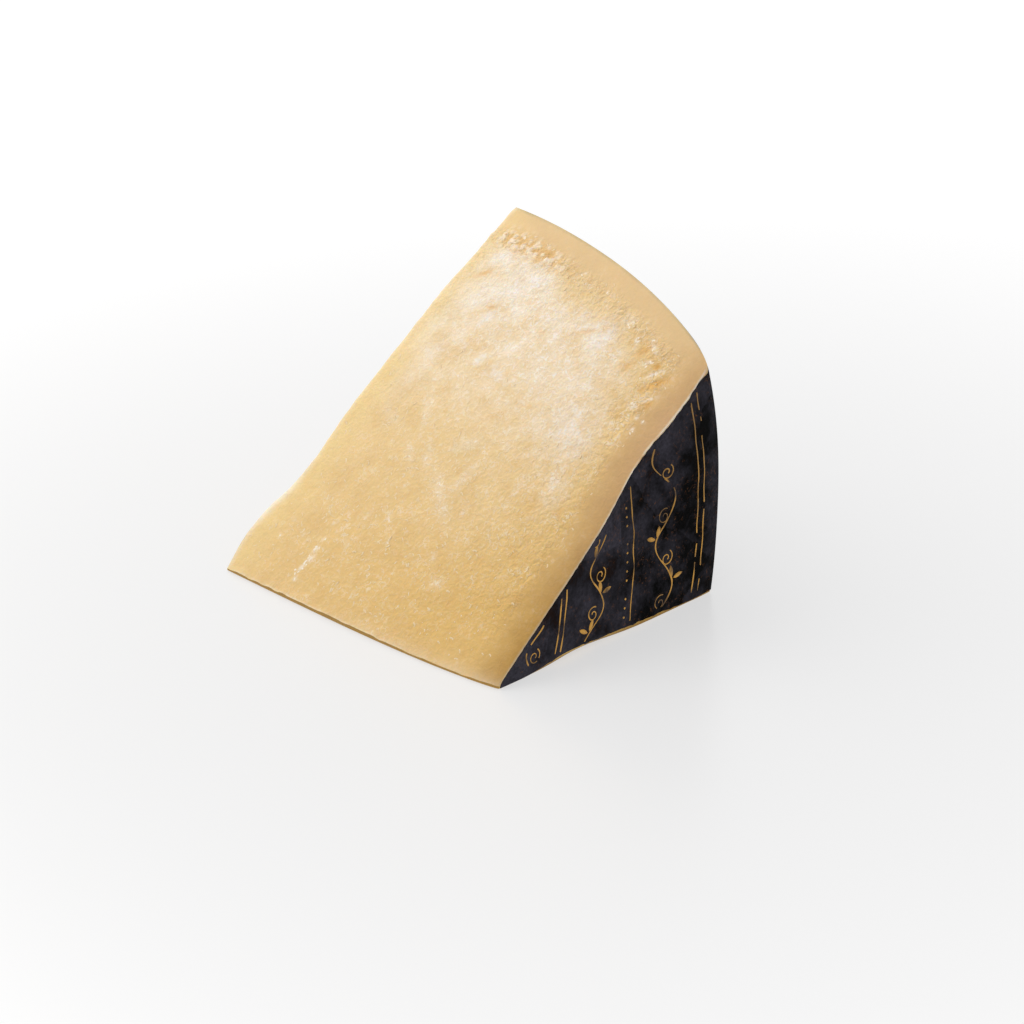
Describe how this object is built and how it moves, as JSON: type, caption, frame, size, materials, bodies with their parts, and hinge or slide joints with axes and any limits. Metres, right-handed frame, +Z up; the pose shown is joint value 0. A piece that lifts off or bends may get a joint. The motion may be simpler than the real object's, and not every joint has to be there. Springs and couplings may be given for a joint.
{
  "type": "hard cheese chunk",
  "caption": "Wedge-shaped chunk of hard grating cheese from a large drum, resting on a cut face, with a dark coated rind on the flat side and the rim and bare crumbly paste on the cuts.",
  "frame": {"origin": "middle of the resting face's side of the chunk's box, on the surface that it rests on", "axes": "+X along the thin edge towards the flat rind face, +Y from the thin edge to the curved rim, +Z up"},
  "size_m": [0.1076, 0.1126, 0.0843],
  "materials": {
    "paste": "cut hard cheese paste, pale straw, finely grained, matt and slightly waxy",
    "rind": "thin black cheese coating, satin, slightly mottled",
    "gold_print": "thin old-gold printed line ornament on the coating"
  },
  "bodies": {
    "root": {"cheese_chunk": "paste"}
  },
  "joints": []
}
